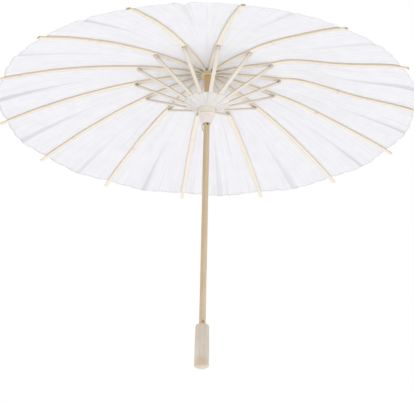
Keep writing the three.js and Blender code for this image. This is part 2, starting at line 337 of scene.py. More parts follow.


# Solid wood or bamboo rod: streaks along Z over a broad change of tone, tinted by up to three soft balls of colour
# (real stains on the shaft, painted shade on the grip), and painted nearly black as shade in its hollows.
def makeRodWood(name, light, dark, roughness, across, along, stainAndShadeBalls=()):
    material, tree, shader = newMaterial(name, roughness, 0.4)
    place = objectPlace(tree)
    streaks = useGroup(tree, streakGroup, place, Across=across, Along=along)
    mottle = useGroup(tree, mottleGroup, place, Size=14.0)
    tone = ramp(tree, streaks.outputs["Mask"], [(0.32, dark), (0.66, light)])
    broad = ramp(tree, mottle.outputs["Broad"], [(0.35, (0.90, 0.87, 0.84)), (0.65, (1, 1, 1))])
    tone = mixColour(tree, 0.7, tone, broad, "MULTIPLY")
    fine = ramp(tree, streaks.outputs["Fine"], [(0.36, (0.84, 0.80, 0.75)), (0.56, (1, 1, 1))])
    tone = mixColour(tree, 0.5, tone, fine, "MULTIPLY")
    # Balls of colour: real stains on the shaft, painted shade on the grip.
    for colourBall in stainAndShadeBalls:
        tone = addStainAndShadeBall(tree, place, tone, *colourBall)
    # Painted shade: points marked by hollowShade turn nearly black.
    tone = mixColour(tree, attribute(tree, "hollowShade", "Fac"), tone, (0.012, 0.004, 0.002))
    finish(tree, shader, tone, streaks.outputs["Fine"], 0.00015)
    return material


# Thin white paper: faint clouds, fine radial creases drawn as lines of painted shade, and a doubled strip at each
# fold painted greyer as shade, where two layers let less light through. The share of light that passes through is
# given by glowShare.
def makePaper(name, colour, shade, glowShare):
    material, tree, shader = newMaterial(name, 0.9, 0.15)
    mottle = useGroup(tree, mottleGroup, objectPlace(tree), Size=38.0)
    tone = ramp(tree, mottle.outputs["Broad"], [(0.3, shade), (0.66, colour)])
    creases = useGroup(tree, streakGroup, attribute(tree, "crease"), Across=260.0, Along=2.2)
    # Painted shade: darker lines along the creases.
    creaseShade = ramp(tree, creases.outputs["Fine"], [(0.38, (0.90, 0.90, 0.915)), (0.46, (1, 1, 1))])
    tone = mixColour(tree, 0.8, tone, creaseShade, "MULTIPLY")
    # Painted shade: the doubled strip is greyer, as less light passes through two layers.
    foldShade = mathNode(tree, "MULTIPLY", attribute(tree, "foldShade", "Fac"), 0.9, True)
    tone = mixColour(tree, foldShade, tone, tuple(0.80 * array(shade)))
    pores = mathNode(tree, "MULTIPLY", mottle.outputs["Pores"], 0.2)
    finish(tree, shader, tone, mathNode(tree, "ADD", creases.outputs["Fine"], pores), 0.0006)
    glow = addNode(tree, "BsdfTranslucent")
    tree.links.new(tone, glow.inputs["Color"])
    mixed = addNode(tree, "MixShader", {0: glowShare})
    tree.links.new(shader.outputs[0], mixed.inputs[1])
    tree.links.new(glow.outputs[0], mixed.inputs[2])
    tree.links.new(mixed.outputs[0], tree.nodes["Material Output"].inputs["Surface"])
    return material


# Gives the base colour a soft change between two tones.
def mottledTone(tree, shader, size, dark, light):
    mottle = useGroup(tree, mottleGroup, objectPlace(tree), Size=size)
    tone = ramp(tree, mottle.outputs["Broad"], [(0.3, dark), (0.7, light)])
    tree.links.new(tone, shader.inputs["Base Color"])
    return mottle


# Moulded or turned ivory piece: faint mottling, and a satin surface whose roughness follows its pores.
def makeIvory(name, colour, roughness):
    material, tree, shader = newMaterial(name, roughness, 0.45)
    mottle = mottledTone(tree, shader, 90.0, tuple(0.9 * array(colour)), colour)
    rough = addNode(tree, "MapRange", {"To Min": roughness - 0.08, "To Max": roughness + 0.1})
    tree.links.new(mottle.outputs["Pores"], rough.inputs["Value"])
    tree.links.new(rough.outputs[0], shader.inputs["Roughness"])
    bump(tree, shader, mottle.outputs["Pores"], 0.00008, 0.5)
    return material


# Drawn steel wire: bare metal in two greys.
def makeSteel():
    material, tree, shader = newMaterial("drawnSteelWire", 0.32, 0.5)
    shader.inputs["Metallic"].default_value = 1.0
    mottledTone(tree, shader, 400.0, (0.26, 0.26, 0.26), (0.46, 0.46, 0.46))
    return material


# Cotton thread: dull, in two creams.
def makeThread():
    material, tree, shader = newMaterial("cottonThread", 0.95, 0.1)
    mottledTone(tree, shader, 700.0, (0.55, 0.50, 0.40), (0.78, 0.74, 0.64))
    return material


# Each bamboo's third colour is its sawn sides: partly their own tan, partly painted shade.
ribBamboo = makeBamboo("ribBamboo", (0.865, 0.80, 0.71), (0.80, 0.72, 0.60), (0.78, 0.66, 0.47), 0.55)
strutBamboo = makeBamboo("strutBamboo", (0.785, 0.735, 0.67), (0.70, 0.635, 0.55), (0.72, 0.62, 0.47), 0.58)
cutEnd = makeEndGrain()
canopyPaper = makePaper("canopyPaper", (0.91, 0.91, 0.93), (0.885, 0.885, 0.91), 0.3)
collarPaper = makePaper("collarPaper", (0.97, 0.95, 0.935), (0.93, 0.905, 0.89), 0.38)

# Stains on the shaft and painted shade on the grip: centre, radius, stretch, strength and colour.
shaftStains = [((0, 0, 0.4835), 0.040, 1.5, 0.6, (0.76, 0.56, 0.31)),
        ((-0.002, 0, 0.4835), 0.0155, 1.2, 0.8, (0.78, 0.48, 0.12)),
        ((0.0015, -0.0052, 0.0395), 0.0032, 1.2, 1.0, (0.62, 0.29, 0.08))]
# The grip's first ball is painted shade on the front of its middle, the second painted shade on its foot about the
# dimple, and the third a small reddish-brown streak at the front.
gripShadeAndSpot = [((-0.001, -0.0110, -0.0275), 0.0150, 0.9, 0.5, (0.58, 0.43, 0.26)),
        ((0, -0.002, -0.0375), 0.0130, 0.7, 0.55, (0.56, 0.47, 0.38)),
        ((0.004, -0.0115, -0.004), 0.004, 2.2, 0.25, (0.62, 0.44, 0.36))]
shaftBamboo = makeRodWood("shaftBamboo", (0.74, 0.60, 0.41), (0.60, 0.45, 0.28), 0.5, 420.0, 5.0, shaftStains)
gripWood = makeRodWood("gripWood", (0.715, 0.65, 0.57), (0.66, 0.595, 0.51), 0.55, 260.0, 14.0, gripShadeAndSpot)
bandIvory = makeIvory("bandIvory", (0.83, 0.775, 0.66), 0.5)
sleeveWhite = makeIvory("sleeveWhite", (0.86, 0.79, 0.74), 0.6)
crownIvory = makeIvory("crownIvory", (0.93, 0.84, 0.58), 0.55)
steelWire = makeSteel()
thread = makeThread()
print("materials ready")


# Carries a rounded rectangle along a path: points of the path, a fixed side direction, widths and thicknesses.
# The section's up direction is the side direction crossed with the path's tangent.
def ribbon(path, side, widths, thicks, corner, cornerSteps=3):
    path = np.asarray(path, float)
    n = len(path)
    tangent = np.gradient(path, axis=0)
    tangent /= np.linalg.norm(tangent, axis=1, keepdims=True)
    up = np.cross(tangent, side)
    up /= np.linalg.norm(up, axis=1, keepdims=True)
    corners = np.repeat([[1, -1], [1, 1], [-1, 1], [-1, -1]], cornerSteps, axis=0)
    steps = np.tile(linspace(0, 1, cornerSteps), 4)
    angles = radians(-90) + radians(90) * (np.repeat(arange(4), cornerSteps) + steps)
    arc = stack([cos(angles), sin(angles)], -1)
    widths = np.broadcast_to(widths, n)[:, None]
    thicks = np.broadcast_to(thicks, n)[:, None]
    radius = np.minimum(corner, 0.45 * np.minimum(widths, thicks))
    across = corners[:, 0] * (widths / 2 - radius) + radius * arc[:, 0]
    high = corners[:, 1] * (thicks / 2 - radius) + radius * arc[:, 1]
    points = path[:, None] + across[..., None] * np.asarray(side, float) + high[..., None] * up[:, None]
    along = concatenate([[0], np.cumsum(np.linalg.norm(np.diff(path, axis=0), axis=1))])
    fibre = stack([across, high, np.broadcast_to(along[:, None], across.shape)], -1)
    edge = across / abs(across).max(1, keepdims=True)
    return points, fibre, edge


# Joins ribbons into one piece. Each is (ribbon, mark, end material), and has a face of its own at either end.
def joinRibbons(name, ribbons, angle, materials, seed):
    points, fibres, edges, marks, faces, index, count = [], [], [], [], [], [], 0
    for (grid, fibre, edge), mark, endMaterial in ribbons:
        rows, columns = grid.shape[:2]
        quads = gridFaces(rows, columns, True, count)
        first = count + rows * columns
        points += [grid.reshape(-1, 3), grid[0], grid[-1]]
        fibres += [fibre.reshape(-1, 3), fibre[0], fibre[-1]]
        edges += [edge.ravel(), zeros(2 * columns)]
        marks += [np.repeat(np.broadcast_to(mark, rows), columns), zeros(2 * columns)]
        faces += [*quads, arange(first, first + columns)[::-1],
        arange(first + columns, first + 2 * columns)]
        index += [0] * len(quads) + [endMaterial] * 2
        count = first + 2 * columns
    return makePiece(name, turn(concatenate(points), angle), faces, materials,
        {"fibre": concatenate(fibres) + array([0, 0, seed]), "edge": concatenate(edges),
        "mark": concatenate(marks)}, index)


ribs = {"hingeRadius": 0.015, "thickness": 0.003, "corner": 0.0006, "stations": 110, "sideFrom": 0.0015,
        "stationGap": 0.004, "stationReach": 2e-4, "ringFrom": 0.16, "ringTo": 0.335, "ringHeight": 0.00018,
        "ringLength": 0.0016, "ringMark": 0.3, "waviness": 0.0004, "swayStarts": (0.03, 0.1),
        "swayEnds": (0.36, 0.33), "widthWaviness": 0.0003, "lugWidth": 0.0024, "lugRadius": 0.0017,
        "lugCorner": 0.0002, "lugMark": 0.25}
struts = {"width": 0.0068, "endWidth": 0.0054, "widens": (0.008, 0.024), "thickness": 0.003,
          "corner": 0.0006, "slotWidth": 0.0026, "slotDepth": 0.0021, "slotOverlap": 0.0004, "prongRoot": 0.003,
          "prongCorner": 0.0003, "tipPast": 0.0015, "tipRound": 0.0004, "tipThinned": 0.0005, "pinRadius": 0.0005,
          "pinHalf": 0.46, "tan": 0.16, "tanPlace": (0.05, 0.11)}

# Both hinges of a stretcher: the upper one from its joint, the lower one from the runner's tie.
jointByName = {j["name"]: j for j in frame["joints"]}
upperHinge = jointByName["strut_fold_01"]["pos_m"]
tieInner, tieOuter, tieLow, tieHigh = turnedBounds("runner_tie")
lowerHinge = ((tieInner + tieOuter) / 2, 0.0, (tieLow + tieHigh) / 2)
side = array([0.0, 1.0, 0.0])


# Heights and widths of a rib along its length, read from its CAD node in the rib's own upright plane.
def ribOutline(i):
    co = turn(nodePoints(ribNames[i]), -i * ribStep)
    co = co[(abs(co[:, 1]) > ribs["sideFrom"]) & (co[:, 0] > ribs["hingeRadius"] - 1e-5)]
    xs = np.unique(np.round(co[:, 0], 5))
    xs = xs[concatenate([[True], np.diff(xs) > ribs["stationGap"]])]
    near = [co[abs(co[:, 0] - x) < ribs["stationReach"]] for x in xs]
    top = array([c[:, 2].max() for c in near])
    wide = array([2 * abs(c[:, 1]).max() for c in near])
    return xs, top, wide


# A rounded end: the thickness follows a half circle about the hinge.
def roundTip(centre, direction, radius, thickness, steps=5):
    a = linspace(radians(10), radians(90), steps)
    reach = radius * cos(a)
    return np.asarray(centre) + reach[:, None] * np.asarray(direction), thickness * sin(a)


# A rib sways a little sideways, is thicker at its growth ring, and carries a lug about the stretcher's hinge.
# Gives its top's distances and heights, for the paper to lie on.
def makeRib(i):
    seed = np.random.default_rng(90 + i)
    xs, top, wide = ribOutline(i)
    x = linspace(ribs["hingeRadius"], xs[-1], ribs["stations"])
    height = through(x, xs, top) - ribs["thickness"] / 2
    width = np.interp(x, xs, wide)
    wave = sin(x * 61 + 2.1 * i) * sin(x * 23 + i)
    sway = ribs["waviness"] * wave * ease(x, *ribs["swayStarts"]) * ease(x, *ribs["swayEnds"])
    ringPlace = seed.uniform(ribs["ringFrom"], ribs["ringTo"])
    ring = np.exp(-(((x - ringPlace) / ribs["ringLength"]) ** 2))
    path = stack([x, sway, height - ribs["ringHeight"] * ring / 2], -1)
    tip, tipThick = roundTip(path[0], (-1, 0, 0), ribs["thickness"] / 2, ribs["thickness"])
    tip, tipThick = tip[:-1], tipThick[:-1]
    lead = zeros(len(tip))
    path = concatenate([tip, path])
    thick = concatenate([tipThick, ribs["thickness"] + ribs["ringHeight"] * ring])
    width = concatenate([lead + width[0], width]) + ribs["widthWaviness"] * concatenate([lead, wave])
    mark = concatenate([lead, ribs["ringMark"] * seed.uniform(0.4, 1.2) * ring])
    body = ribbon(path, side, width, thick, ribs["corner"])
    radius = ribs["lugRadius"]
    down = linspace(height[np.argmin(abs(x - upperHinge[0]))], upperHinge[2], 4)
    down = concatenate([down, upperHinge[2] - radius * sin(linspace(0.3, 1.45, 5))])
    reach = 2 * np.sqrt(np.maximum(radius ** 2 - np.minimum(0, down - upperHinge[2]) ** 2, 1e-8))
    lugPath = stack([np.full_like(down, upperHinge[0]), np.zeros_like(down), down], -1)
    lug = ribbon(lugPath, side, ribs["lugWidth"], reach, ribs["lugCorner"])
    number = "%02d" % (i + 1)
    piece = joinRibbons("bambooRib_" + number, [(body, mark, 1), (lug, ribs["lugMark"], 0)], i * ribStep,
        [ribBamboo, cutEnd], 0.7 * i)
    setPiece(piece, "rib_" + number, "rib_" + number)
    return x, height + ribs["thickness"] / 2


# Width of a stretcher at a distance from its root.
def strutWidth(distance):
    return struts["endWidth"] + (struts["width"] - struts["endWidth"]) * ease(distance, *struts["widens"])


# A stretcher is a lath with a rounded root in the runner and a square forked tip that is pinned to the rib's lug.
def makeStrut(i):
    seed = np.random.default_rng(300 + i)
    low, high = array(lowerHinge), array(upperHinge)
    along = (high - low) / np.linalg.norm(high - low)
    slotFloor = high - along * struts["slotDepth"]
    t = linspace(0, 1, 24)[:, None]
    body = low + (slotFloor + along * struts["slotOverlap"] - low) * t
    width = strutWidth(np.linalg.norm(body - low, axis=1))
    tip, tipThick = roundTip(low, -along, struts["thickness"] / 2, struts["thickness"])
    path = concatenate([tip[:-1], body])
    thick = concatenate([tipThick[:-1], full(len(body), struts["thickness"])])
    width = concatenate([full(len(tip) - 1, width[0]), width])
    tan = struts["tan"] * ease(path[:, 0] - low[0], *struts["tanPlace"])
    parts = [(ribbon(path, side, width, thick, struts["corner"]), tan, 1)]
    prong = (struts["width"] - struts["slotWidth"]) / 2
    depth, past = struts["slotDepth"], struts["tipPast"]
    reach = array([-depth - struts["prongRoot"], -depth, -0.001, 0.0, past - struts["tipRound"], past])
    fork = high + along * reach[:, None]
    forkThick = struts["thickness"] - array([0, 0, 0, 0, 0, struts["tipThinned"]])
    tipMark = np.maximum(struts["tan"], array([0, 0, 0, 0.1, 0.5, 0.8]) * seed.uniform(0.1, 1.1))
    for way in (-1, 1):
        shift = side * way * (struts["width"] - prong) / 2
        parts.append((ribbon(fork + shift, side, prong, forkThick, struts["prongCorner"]), tipMark, 1))
    acrossPin = linspace(-struts["pinHalf"], struts["pinHalf"], 5) * struts["width"]
    pin = stack([full(5, high[0]), acrossPin, full(5, high[2])], -1)
    pinWidth = 2 * struts["pinRadius"]
    parts.append((ribbon(pin, array([1.0, 0, 0]), pinWidth, pinWidth, struts["pinRadius"]), 0.0, 2))
    number = "%02d" % (i + 1)
    piece = joinRibbons("bambooStretcher_" + number, parts, i * ribStep, [strutBamboo, cutEnd, thread],
        5 + 0.9 * i)
    setPiece(piece, "strut_" + number, "strut_" + number)


ribTops = [makeRib(i) for i in range(ribCount)]
for i in range(ribCount):
    makeStrut(i)
print("ribs and stretchers made")


# A thin sheet from a grid of top points: both faces, and the strip round its edge. Seen from above, the grid's rows
# run anticlockwise when order is 1 and clockwise when it is -1.
def makeSheet(name, top, thickness, material, attributes, order):
    rows, columns = top.shape[:2]
    count = rows * columns
    low = top - array([0, 0, thickness])
    grid = gridFaces(rows, columns)
    edge = concatenate([arange(columns), arange(1, rows) * columns + columns - 1,
        (rows - 1) * columns + arange(columns - 2, -1, -1),
        arange(rows - 2, 0, -1) * columns])
    around = stack([edge, edge + count, np.roll(edge, -1) + count, np.roll(edge, -1)], -1)
    faces = concatenate([grid, grid[:, ::-1] + count, around])[:, ::order]
    double = {key: concatenate([a.reshape(count, -1)] * 2).squeeze() for key, a in attributes.items()}
    points = concatenate([top.reshape(-1, 3), low.reshape(-1, 3)])
    return makePiece(name, points, faces, [material], double)


paper = {"radius": 0.350, "inner": 0.018, "bulge": 0.0125, "thickness": 0.00025, "lift": 0.0007,
         "along": 74, "across": 84, "spacing": 0.9, "arch": 0.005, "tied": 0.6, "free": (0.04, 0.26),
         "scallop": 0.0027, "uneven": 0.05, "notch": 0.0022, "notchWidth": 0.022, "creases": 12,
         "creaseHeight": 0.0006, "creaseBend": 0.35, "foldHeight": 0.0024, "foldPlace": (0.08, 0.34),
         "foldHalfWidth": 0.034, "foldStart": 0.35, "stripStep": 0.0008, "stripEdge": (-0.006, 0.006),
         "stripPlace": (0.38, 0.95), "rimShare": 1.045}


# A panel point lies on the straight line between its two ribs at one distance out, is pushed up by the creases, and
# is cut at the rim by the scallops. across and out both run from 0 to 1.
def panelSurface(i, across, out):
    seed = np.random.default_rng(500 + i)
    dome = sin(pi * across)
    rim = paper["radius"] + paper["bulge"] * dome
    uneven = across + paper["uneven"] * sin(2 * pi * across + seed.uniform(0, 6)) * dome
    pieces = seed.integers(3, 6)
    rim = rim + paper["scallop"] * abs(sin(pi * pieces * uneven)) * dome ** 0.5
    foldPlace = 0.5 + seed.uniform(-0.05, 0.05)
    away = abs(across - foldPlace)
    rim = rim - paper["notch"] * np.exp(-away / paper["notchWidth"]) * seed.uniform(0.3, 1.1)
    r = paper["inner"] + (rim - paper["inner"]) * out
    ends = []
    for step in (0, 1):
        x, top = ribTops[(i + step) % ribCount]
        height = through(np.clip(r, x[0], x[-1]), x, top)
        angle = (i + step) * ribStep
        ends.append(stack([r * cos(angle), r * sin(angle), height], -1))
    mix = across[..., None]
    points = ends[0] * (1 - mix) + ends[1] * mix
    tied = dome ** paper["tied"]
    free = tied * ease(r, *paper["free"])
    rise = np.zeros_like(r)
    for waves in seed.uniform(5, 34, paper["creases"]):
        bend = paper["creaseBend"] * sin(out * seed.uniform(2, 6) + seed.uniform(0, 6))
        wave = sin(2 * pi * waves * across + bend + seed.uniform(0, 6))
        rise += wave * 3 / waves * seed.uniform(0.3, 1)
    rise = paper["creaseHeight"] * rise * free
    # The fold: a shallow roof whose sides fall to the doubled strip's edges, and a thin step along one edge.
    start = paper["foldStart"]
    halfWidth = paper["foldHalfWidth"] * seed.uniform(0.6, 1.3) * np.clip(out - start, 0, 1) / (1 - start)
    roof = np.maximum(0, 1 - away / 0.5) ** 2
    rise -= paper["foldHeight"] * ease(r, *paper["foldPlace"]) * roof * tied
    wedge = ease(halfWidth - away, *paper["stripEdge"]) * ease(out, *paper["stripPlace"])
    rise -= paper["stripStep"] * wedge
    rise += paper["arch"] * dome * out ** 2
    points[..., 2] += paper["lift"] + rise
    # How dark the doubled strip's painted shade is: the wedge times this strength.
    strength = seed.uniform(0.2, 0.85)
    crease = stack([(across + i) * ribStep * 0.35, np.zeros_like(r), r], -1)
    return points, wedge * strength, crease


# A paper panel from one rib to the next.
def makePanel(i):
    across, out = np.meshgrid(linspace(0, 1, paper["across"]),
        linspace(0, 1, paper["along"]) ** paper["spacing"], indexing="ij")
    top, foldShade, crease = panelSurface(i, across, out)
    number = "%02d" % (i + 1)
    piece = makeSheet("paperPanel_" + number, top, paper["thickness"], canopyPaper,
        {"foldShade": foldShade, "crease": crease}, 1)
    middle = (i + 0.5) * ribStep
    cos(i * ribStep)
    sin(i * ribStep)
    cos(middle)
    sin(middle)
    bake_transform(piece)
    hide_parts("canopy_panel_" + number)
    width = 2 * paper["radius"] * sin(ribStep / 2)


for i in range(ribCount):
    makePanel(i)
print("paper panels made")


# Makes a piece from a grid of points, rows by columns, whose columns run round the shaft. Rows that start and end on
# the axis are closed there by poles; any others join the last row to the first.
def makeLoft(name, grid, materials, index=None, attributes=None, crisp=None):
    rows, columns = grid.shape[:2]
    if abs(grid[0, :, :2]).max() < 1e-7:
        body = grid[1:-1].reshape(-1, 3)
        faces = gridFaces(rows - 2, columns, True).tolist()
        last = (rows - 3) * columns
        a = arange(columns)
        b = (a + 1) % columns
        faces += stack([full(columns, len(body)), b, a], -1).tolist()
        faces += stack([full(columns, len(body) + 1), last + a, last + b], -1).tolist()
        body = concatenate([body, grid[0, :1], grid[-1, :1]])
    else:
        body = grid.reshape(-1, 3)
        faces = (gridFaces(rows + 1, columns, True) % (rows * columns)).tolist()
    return makePiece(name, body, faces, materials, attributes, index, crisp)


# Turns an outline of radius and height about the shaft.
def turnedGrid(outline, columns):
    outline = np.asarray(outline, float)
    angle = linspace(0, 2 * pi, columns, endpoint=False)
    r, z = outline[:, :1], np.repeat(outline[:, 1:], columns, 1)
    return stack([r * cos(angle), r * sin(angle), z], -1)


# Plan of a disc with a square slot at each rib: arcs at the outer radius, and a flat floor across each slot. Gives
# its points, and their angles on a disc without slots.
def slottedPlan(outer, floor, halfWidth):
    edge = np.arcsin(halfWidth / outer)
    arc = linspace(edge, ribStep / 2, 5)
    arcBefore, arcAfter = -arc[::-1], arc[:-1]
    across = linspace(-halfWidth, halfWidth, 4)
    x = concatenate([outer * cos(arcBefore), full(4, floor), outer * cos(arcAfter)])
    y = concatenate([outer * sin(arcBefore), across, outer * sin(arcAfter)])
    angles = concatenate([arcBefore, linspace(-edge, edge, 6)[1:-1], arcAfter])
    turns = arange(ribCount)[:, None] * ribStep
    c, s = cos(turns), sin(turns)
    return (x * c - y * s).ravel(), (x * s + y * c).ravel(), (angles + turns).ravel()


# Grid of a turned piece with slots: each row is (radius, height, slot floor), and a floor of 0 means a round row.
def slottedGrid(outline, halfWidth):
    angles = slottedPlan(outline[0][0] + 3 * halfWidth, 0.01, halfWidth)[2]
    rows = []
    for radius, height, floor in outline:
        x, y = radius * cos(angles), radius * sin(angles)
        if floor:
            x, y, _ = slottedPlan(radius, floor, halfWidth)
        rows.append(stack([x, y, full(len(x), height)], -1))
    return stack(rows)


# A wire bent in a ring, with strands that wind round it: the wire's radius drops by depth between the strands.
def makeRing(name, node, material, body, strands, windings, depth):
    inner, outer, low, high = turnedBounds(node)
    wire = (high - low) / 2
    section, around = np.meshgrid(linspace(0, 2 * pi, 10, endpoint=False),
        linspace(0, 2 * pi, 280, endpoint=False), indexing="ij")
    radius = wire * (1 - depth + depth * cos(strands * section + windings * around))
    r = (inner + outer) / 2 + radius * cos(section)
    z = (low + high) / 2 + radius * sin(section)
    grid = stack([r * cos(around), r * sin(around), z], -1)
    setPiece(makeLoft(name, grid, [material]), body, node)


_, shaftRadius, shaftLow, _ = turnedBounds("shaft")

grip = {"topRadius": 0.01085, "radius": 0.01175, "swell": 0.0002, "dimple": 0.0022, "dimpleDepth": 0.0007,
        "dimpleRim": 0.0001, "topRound": 0.0034, "endRound": 0.0078, "endDrop": 0.0052, "lip": 0.0008,
        "play": 0.0002, "mouth": 0.0005, "seat": 0.0003}


# Grip: a tapered wall that swells slightly between two quarter rounds, a dimpled foot and a socket for the shaft.
def makeGrip():
    low, high = heights("handle")
    socket, seat = shaftRadius + grip["play"], shaftLow - grip["seat"]
    a = linspace(0, pi / 2, 11)
    foot = stack([grip["radius"] - grip["endRound"] * (1 - sin(a)),
        low + grip["endDrop"] * (1 - cos(a))], -1)
    head = stack([grip["topRadius"] - grip["topRound"] * (1 - cos(a)),
        high - grip["topRound"] * (1 - sin(a))], -1)
    t = linspace(0, 1, 12)[1:-1]
    taper = grip["radius"] + (grip["topRadius"] - grip["radius"]) * t
    wall = stack([taper + grip["swell"] * sin(pi * t), foot[-1, 1] + (head[0, 1] - foot[-1, 1]) * t], -1)
    base = [(0, low + grip["dimpleDepth"]), (0.5 * grip["dimple"], low + 0.8 * grip["dimpleDepth"]),
            (grip["dimple"], low + grip["dimpleRim"])]
    inside = [(grip["topRadius"] - grip["topRound"] - grip["lip"], high - 0.0001),
        (socket + grip["mouth"], high - 0.0002), (socket, high - 0.0008), (socket, seat), (0, seat)]
    outline = concatenate([base, foot, wall, head, inside])
    setPiece(makeLoft("turnedGrip", turnedGrid(outline, 96), [gripWood]), "frame", "handle")


# The peg's angle is in degrees, and the span of fine columns about it in radians.
rod = {"pegAngle": -66.0, "pegRadius": 0.0018, "pegEdge": 0.00012, "pegDrop": 0.0022, "pegDepth": 0.0026,
       "pegReach": 0.0021, "pegSpan": 0.36, "pegClear": 0.4, "slotHalfWidth": 0.0008, "slotPast": 0.0008,
       "slotEnd": 0.00005, "slotClear": 1.6, "slotFloor": 0.0025, "slotShade": 0.8, "margin": 0.002,
       "waviness": 0.00006, "tipLength": 0.003,
       "tip": [(0.985, -0.0019), (0.93, -0.0011), (0.82, -0.0005), (0.55, -0.0001), (0, 0)]}


# Brings an angle to less than half a turn either way.
def wrapAngle(angle):
    return (angle + pi) % (2 * pi) - pi


# The rod's radius wanders slightly. In the catch's slot the points near -X are moved to the slot's floor, and the
# peg hole is a round pit where the radius drops; hollowShade marks the points painted dark as shade there.
def makeShaft():
    latchLow, latchHigh = heights("spring_latch")
    slotLow, slotHigh = latchLow - rod["slotPast"], latchHigh + rod["slotPast"]
    pegHeight, top = heights("runner")[0] - rod["pegDrop"], heights("shaft")[1]
    pegAngle = radians(rod["pegAngle"])
    wall = np.arcsin(rod["slotHalfWidth"] / shaftRadius)
    slotAngles = pi + wall * array([-1.0, -0.995, -0.5, 0, 0.5, 0.995, 1.0])
    pegAngles = pegAngle + linspace(-rod["pegSpan"], rod["pegSpan"], 27)
    free = linspace(-pi, pi, 72, endpoint=False)
    away = np.minimum(abs(wrapAngle(free - pegAngle)) / rod["pegClear"],
        abs(wrapAngle(free + pi)) / (rod["slotClear"] * wall))
    angles = np.sort(concatenate([free[away > 1], pegAngles, wrapAngle(slotAngles)]))
    end, margin = rod["slotEnd"], rod["margin"]
    pegLow, pegHigh = pegHeight - rod["pegReach"], pegHeight + rod["pegReach"]
    z = np.sort(concatenate([linspace(shaftLow, slotLow - margin, 60), [slotLow - end, slotLow + end],
        linspace(slotLow, pegLow, 8)[1:-1], linspace(pegLow, pegHigh, 27),
        [slotHigh - end, slotHigh + end],
        linspace(slotHigh + margin, top - rod["tipLength"], 24)]))
    r = shaftRadius - rod["waviness"] * (1 + sin(9 + z[:, None] * 47 + 2 * sin(angles)[None]))
    fromPeg = np.hypot(shaftRadius * (angles[None] - pegAngle), z[:, None] - pegHeight)
    pit = ease(fromPeg, rod["pegRadius"] + rod["pegEdge"], rod["pegRadius"] - rod["pegEdge"])
    r = r - rod["pegDepth"] * pit
    x, y = r * cos(angles), r * sin(angles)
    inSlot = (abs(y) < 0.9965 * rod["slotHalfWidth"]) & (x < 0)
    inSlot = inSlot & (z[:, None] > slotLow) & (z[:, None] < slotHigh)
    x = np.where(inSlot, rod["slotFloor"], x)
    body = stack([x, y, np.broadcast_to(z[:, None], x.shape)], -1)
    tip = array(rod["tip"])
    tipRadius = tip[:, :1] * shaftRadius
    ends = stack([tipRadius * cos(angles), tipRadius * sin(angles),
        np.repeat(top + tip[:, 1:], len(angles), 1)], -1)
    start = zeros((1, len(angles), 3)) + array([0, 0, shaftLow])
    grid = concatenate([start, body, ends])
    # Painted shade: the slot's floor is darkened by slotShade, and the peg's pit goes nearly black.
    dark = np.where(inSlot, rod["slotShade"], pit).ravel()
    hollowShade = concatenate([dark, zeros((len(tip) - 1) * len(angles) + 2)])
    piece = makeLoft("roundShaft", grid, [shaftBamboo], attributes={"hollowShade": hollowShade}, crisp=50)
    setPiece(piece, "frame", "shaft")


# Sizes that the crown, the cap and the runner share.
hub = {"play": 0.0003, "groove": 0.0005, "grooveFlare": 0.0003, "grooveDepth": 0.0019, "bevel": 0.0004}
crown = {"slot": 0.0026, "floor": 0.0129, "foot": 0.001, "slotTop": 0.0021, "round": 0.0006, "topRound": 0.0008}


# Rows of a groove for the tie in a toothed rim, from below upwards.
def grooveRows(radius, height, floor):
    half, deep = hub["groove"], radius - hub["grooveDepth"]
    return [(radius, height - half - hub["grooveFlare"], floor), (deep, height - half, floor),
            (deep, height + half, floor), (radius, height + half + hub["grooveFlare"], floor)]


# Crown: slots open outwards and downwards hold the rib ends, and the wire lies in a groove round its teeth.
def makeCrown():
    low, high = heights("crown")
    radius = turnedBounds("crown")[1]
    bore, bevel, floor = shaftRadius + hub["play"], hub["bevel"], crown["floor"]
    hinge = ribHinge[2]
    slotTop = hinge + crown["slotTop"]
    outline = [(bore, low + bevel, 0), (bore + bevel, low, 0), (floor - crown["foot"], low, 0),
        (radius - crown["round"], low, floor), (radius, low + crown["round"], floor),
        *grooveRows(radius, hinge, floor), (radius, slotTop, floor), (radius, slotTop + 0.0001, 0),
        (radius, high - crown["topRound"], 0), (radius - 0.0002, high - 0.0003, 0),
        (radius - crown["topRound"], high, 0), (bore + bevel, high, 0), (bore, high - bevel, 0)]
    piece = makeLoft("mouldedCrown", slottedGrid(outline, crown["slot"]), [crownIvory], crisp=40)
    setPiece(piece, "frame", "crown")


cap = {"wall": 0.0012, "gap": 0.0003, "seat": 0.0168, "top": 0.0008, "edge": 0.0012, "fullness": 1.15,
       "step": 0.0004,
       "stepOuter": 0.0158, "stepMiddle": 0.0150, "stepInner": 0.0120}


# Cap: a shallow dome with two soft steps and a rolled edge, hollow below.
def makeCap():
    low, high = heights("crown_cap")
    radius = turnedBounds("crown_cap")[1]
    bore, bevel = shaftRadius + hub["play"], hub["bevel"]
    under = heights("crown")[1] + cap["gap"]
    t = linspace(0, 1, 26)[1:]
    dome = radius - (radius - bore - cap["top"]) * t
    rise = low + cap["edge"] + (high - low - cap["edge"]) * sin(pi / 2 * t) ** cap["fullness"]
    steps = ease(dome, cap["stepOuter"], cap["stepMiddle"]) - ease(dome, cap["stepMiddle"], cap["stepInner"])
    rise -= cap["step"] * steps
    inner = radius - cap["wall"]
    outline = concatenate([[(bore, under), (cap["seat"], under), (inner, low + 0.0002), (inner + 0.0003, low),
        (radius - 0.0003, low), (radius, low + 0.0004)],
        stack([dome, np.minimum(rise, high)], -1), [(bore, high - bevel)]])
    piece = makeLoft("domedCap", turnedGrid(outline, 112), [bandIvory], crisp=50)
    setPiece(piece, "frame", "crown_cap")


# Radii of the runner's parts, and heights below the stretchers' hinges.
sleeve = {"play": 0.0004, "foot": 0.0082, "low": 0.0087, "high": 0.0125, "top": 0.0128, "swell": 0.0002,
          "band": 0.0148, "shoulder": 0.0157, "head": 0.0190, "floor": 0.0157, "bandDrop": 0.0161,
          "headDrop": 0.0019, "slot": 0.0030, "round": 0.0006}


